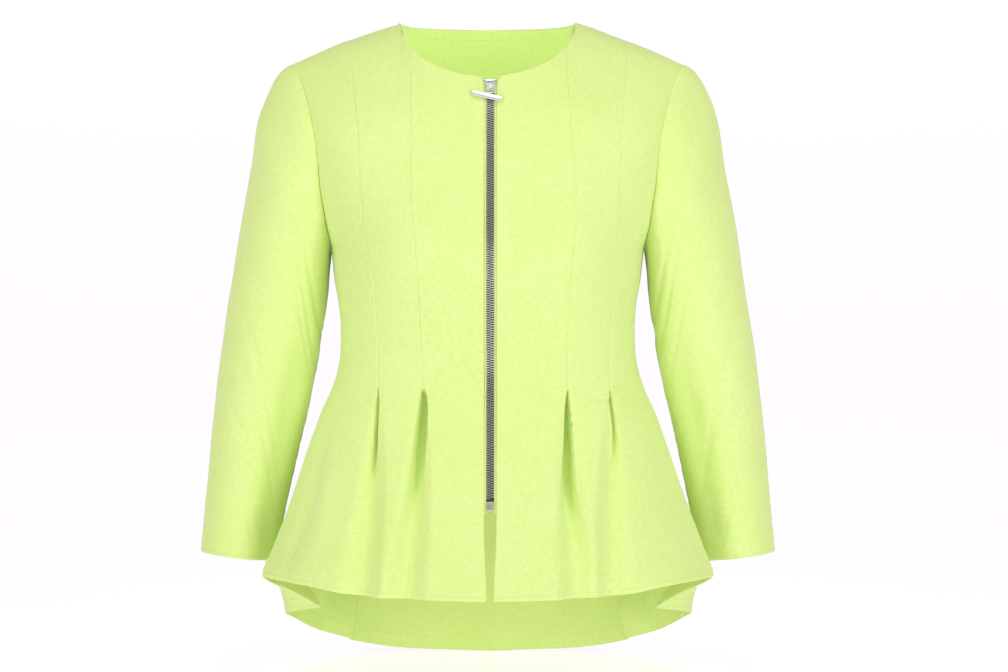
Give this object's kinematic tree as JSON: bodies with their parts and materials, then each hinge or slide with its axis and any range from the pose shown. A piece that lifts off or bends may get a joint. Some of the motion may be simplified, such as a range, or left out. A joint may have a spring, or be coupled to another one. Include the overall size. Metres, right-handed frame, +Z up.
{
  "type": "peplum jacket",
  "caption": "Collarless zip-front jacket with princess seams, pleated flared peplum dipping at the back, and bracelet sleeves.",
  "frame": {"origin": "midway between the two points where the shoulder seams meet the neckline, where the wearer's shoulders hold the jacket", "axes": "+X towards the wearer's left, -Y out of the front, +Z up"},
  "size_m": [0.576, 0.3539, 0.6459],
  "materials": {
    "cloth": "lime green textured crepe, matte with a soft sheen",
    "facing_cloth": "lime green crepe facing, matte",
    "zip_tape": "lime green woven zip tape",
    "zip_teeth": "darkened metal zip teeth with bright edges",
    "zip_metal": "bright polished slider and pull"
  },
  "bodies": {
    "garment": {"front_side_R": "cloth", "front_middle_R": "cloth", "front_centre_R": "cloth", "front_centre_L": "cloth", "front_middle_L": "cloth", "front_side_L": "cloth", "back_side_L": "cloth", "back_centre": "cloth", "back_side_R": "cloth", "sleeve_R": "cloth", "sleeve_L": "cloth", "back_neck_facing": "facing_cloth", "zip_tape_R": "zip_tape", "zip_tape_L": "zip_tape", "zip_chain": "zip_teeth", "zip_box": "zip_teeth", "zip_slider": "zip_metal"},
    "zip_pull": {"zip_pull": "zip_metal"}
  },
  "joints": [
    {"name": "pull_swing", "type": "hinge", "parent": "garment", "child": "zip_pull", "pos_m": [0.0027, -0.08906, -0.06922], "axis": [-1, 0, 0], "range_deg": [0, 150]}
  ]
}
